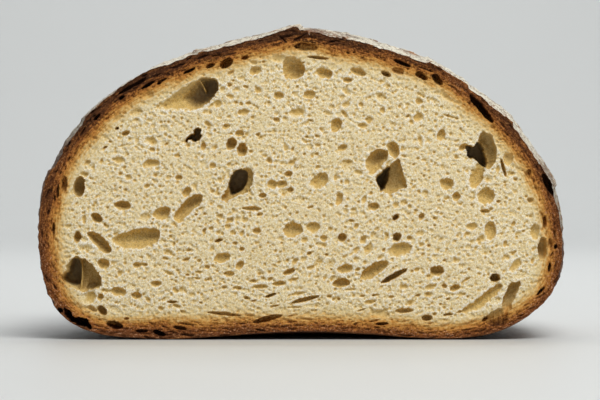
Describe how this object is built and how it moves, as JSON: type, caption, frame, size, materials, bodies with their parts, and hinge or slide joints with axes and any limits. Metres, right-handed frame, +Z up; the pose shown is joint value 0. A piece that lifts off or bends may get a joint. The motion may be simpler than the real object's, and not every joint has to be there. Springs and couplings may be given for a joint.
{
  "type": "half sourdough loaf",
  "caption": "Half of a free-standing sourdough loaf: domed crust, rounded end, flat base, and a straight cut face showing the open crumb.",
  "frame": {"origin": "on the surface the loaf rests on, under the middle of its width and of its length from the cut face to the rounded end", "axes": "+X across the cut face, to the right as the cut is looked at; +Y from the cut face towards the rounded end; +Z up"},
  "size_m": [0.1736, 0.15, 0.1024],
  "materials": {
    "bread": "matte"
  },
  "bodies": {
    "root": {"sourdough_loaf": "bread"}
  },
  "joints": []
}
